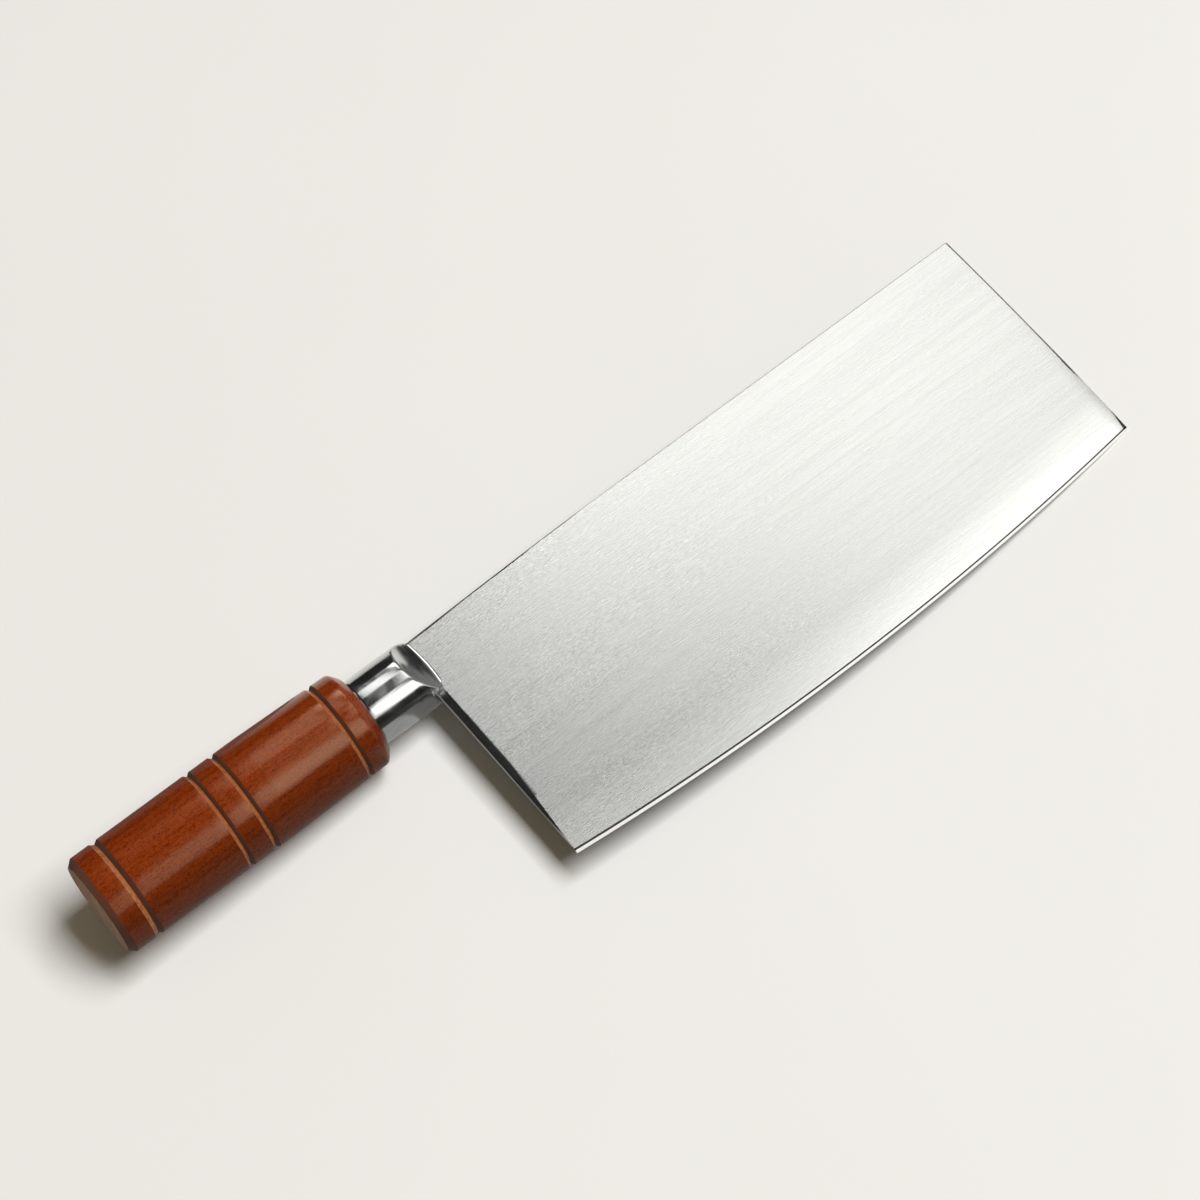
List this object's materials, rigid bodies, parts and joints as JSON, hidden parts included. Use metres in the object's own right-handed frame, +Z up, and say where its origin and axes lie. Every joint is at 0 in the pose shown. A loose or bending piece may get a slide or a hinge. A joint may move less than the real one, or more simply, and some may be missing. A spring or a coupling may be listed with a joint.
{
  "type": "chinese cleaver",
  "caption": "Broad thin kitchen cleaver with a bowed double-bevel edge, an eased heel, a scooped chromed collar and a round turned wooden handle with grooves, lying on its side.",
  "frame": {"origin": "on the table, under the middle of the bounding box of the cleaver lying at rest on its side", "axes": "+X from the butt to the blade's tip along the handle, +Y from the cutting edge to the spine, +Z up out of the blade's upper face"},
  "size_m": [0.3298, 0.1058, 0.0392],
  "materials": {
    "blade_steel": "satin, fine brushing along the blade",
    "collar_chrome": "polished chrome plating",
    "tang_steel": "plain mild steel bar",
    "resin": "cured amber casting resin",
    "handle_wood": "reddish brown stain under satin lacquer"
  },
  "bodies": {
    "root": {"blade": "blade_steel", "collar": "collar_chrome", "tang_rod": "tang_steel", "tang_resin": "resin", "handle": "handle_wood"}
  },
  "joints": []
}
